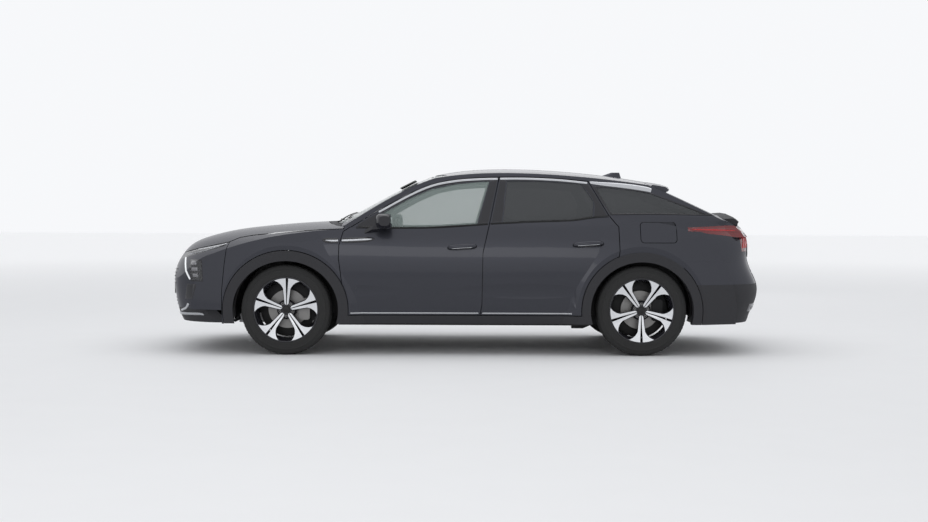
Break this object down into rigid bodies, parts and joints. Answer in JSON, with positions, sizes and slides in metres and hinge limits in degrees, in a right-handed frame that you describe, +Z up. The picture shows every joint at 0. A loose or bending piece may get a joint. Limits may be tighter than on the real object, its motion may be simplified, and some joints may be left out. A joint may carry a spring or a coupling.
{
  "type": "fastback crossover",
  "caption": "Five-door fastback crossover with hinged doors, bonnet, tailgate and fuel flap, steered front wheels and rolling wheels on alloy rims.",
  "frame": {"origin": "On the ground under the middle of the car's length and width.", "axes": "+X points to the rear of the car, +Y to the car's right, +Z up."},
  "size_m": [4.8106, 2.06, 1.4849],
  "materials": {
    "body_paint": "metallic clearcoat",
    "black_trim": "grained",
    "gloss_black": "gloss",
    "clear_glass": "tinted",
    "privacy_glass": "dark tint",
    "lamp_clear": "clear",
    "lamp_red": "gloss",
    "tyre": "moulded",
    "alloy": "machined",
    "cast_iron": "turned",
    "steel": "satin black",
    "engine": "cast",
    "cloth": "woven",
    "soft_black": "soft touch"
  },
  "bodies": {
    "body": {"floor_pan": "steel", "wheel_tubs": "black_trim", "body_side_left": "body_paint", "body_side_right": "body_paint", "roof_panel": "body_paint", "cowl_panel": "black_trim", "front_fenders": "body_paint", "front_bumper": "body_paint", "grille": "gloss_black", "bumper_valances": "black_trim", "rear_bumper": "body_paint", "windscreen": "clear_glass", "quarter_glass": "privacy_glass", "headlamps": "lamp_clear", "tail_lamps": "lamp_red", "arch_and_sill_trim": "black_trim", "engine_block": "engine", "dashboard": "soft_black", "steering_wheel": "soft_black", "front_seats": "cloth", "rear_seat": "cloth", "front_suspension": "steel", "rear_axle": "steel"},
    "bonnet": {"bonnet": "body_paint"},
    "tailgate": {"tailgate": "body_paint", "tailgate_glass": "privacy_glass", "deck_spoiler": "gloss_black"},
    "fuel_flap": {"fuel_flap": "body_paint"},
    "front_door_left": {"front_door_left": "body_paint", "front_door_glass_left": "clear_glass", "door_mirror_left": "gloss_black"},
    "rear_door_left": {"rear_door_left": "body_paint", "rear_door_glass_left": "privacy_glass"},
    "knuckle_left": {"steering_knuckle_left": "cast_iron"},
    "front_wheel_left": {"front_tyre_left": "tyre", "front_rim_left": "alloy", "front_disc_left": "cast_iron"},
    "rear_wheel_left": {"rear_tyre_left": "tyre", "rear_rim_left": "alloy", "rear_disc_left": "cast_iron"},
    "front_door_right": {"front_door_right": "body_paint", "front_door_glass_right": "clear_glass", "door_mirror_right": "gloss_black"},
    "rear_door_right": {"rear_door_right": "body_paint", "rear_door_glass_right": "privacy_glass"},
    "knuckle_right": {"steering_knuckle_right": "cast_iron"},
    "front_wheel_right": {"front_tyre_right": "tyre", "front_rim_right": "alloy", "front_disc_right": "cast_iron"},
    "rear_wheel_right": {"rear_tyre_right": "tyre", "rear_rim_right": "alloy", "rear_disc_right": "cast_iron"}
  },
  "joints": [
    {"name": "bonnet_hinge", "type": "hinge", "parent": "body", "child": "bonnet", "pos_m": [-0.958, 0, 1.022], "axis": [0, 1, 0], "range_deg": [0, 55]},
    {"name": "tailgate_hinge", "type": "hinge", "parent": "body", "child": "tailgate", "pos_m": [1.41, 0, 1.382], "axis": [0, -1, 0], "range_deg": [0, 75]},
    {"name": "fuel_flap_hinge", "type": "hinge", "parent": "body", "child": "fuel_flap", "pos_m": [1.365, -0.916, 0.967], "axis": [0, 0, -1], "range_deg": [0, 90]},
    {"name": "front_door_left_hinge", "type": "hinge", "parent": "body", "child": "front_door_left", "pos_m": [-0.996, -0.93, 0.65], "axis": [0, 0, -1], "range_deg": [0, 68]},
    {"name": "rear_door_left_hinge", "type": "hinge", "parent": "body", "child": "rear_door_left", "pos_m": [0.112, -0.9095, 0.65], "axis": [0, 0, -1], "range_deg": [0, 68]},
    {"name": "steering_left", "type": "hinge", "parent": "body", "child": "knuckle_left", "pos_m": [-1.4075, -0.73, 0.354], "axis": [0, 0, 1], "range_deg": [-35, 35]},
    {"name": "front_wheel_left_spin", "type": "hinge", "parent": "knuckle_left", "child": "front_wheel_left", "pos_m": [-1.4075, -0.8, 0.354], "axis": [0, 1, 0], "continuous": true},
    {"name": "rear_wheel_left_spin", "type": "hinge", "parent": "body", "child": "rear_wheel_left", "pos_m": [1.3775, -0.8, 0.354], "axis": [0, 1, 0], "continuous": true},
    {"name": "front_door_right_hinge", "type": "hinge", "parent": "body", "child": "front_door_right", "pos_m": [-0.996, 0.93, 0.65], "axis": [0, 0, 1], "range_deg": [0, 68]},
    {"name": "rear_door_right_hinge", "type": "hinge", "parent": "body", "child": "rear_door_right", "pos_m": [0.112, 0.9095, 0.65], "axis": [0, 0, 1], "range_deg": [0, 68]},
    {"name": "steering_right", "type": "hinge", "parent": "body", "child": "knuckle_right", "pos_m": [-1.4075, 0.73, 0.354], "axis": [0, 0, 1], "range_deg": [-35, 35]},
    {"name": "front_wheel_right_spin", "type": "hinge", "parent": "knuckle_right", "child": "front_wheel_right", "pos_m": [-1.4075, 0.8, 0.354], "axis": [0, 1, 0], "continuous": true},
    {"name": "rear_wheel_right_spin", "type": "hinge", "parent": "body", "child": "rear_wheel_right", "pos_m": [1.3775, 0.8, 0.354], "axis": [0, 1, 0], "continuous": true}
  ],
  "couplings": [
    {"joint": "steering_left", "follows": "steering_right", "ratio": 1}
  ]
}
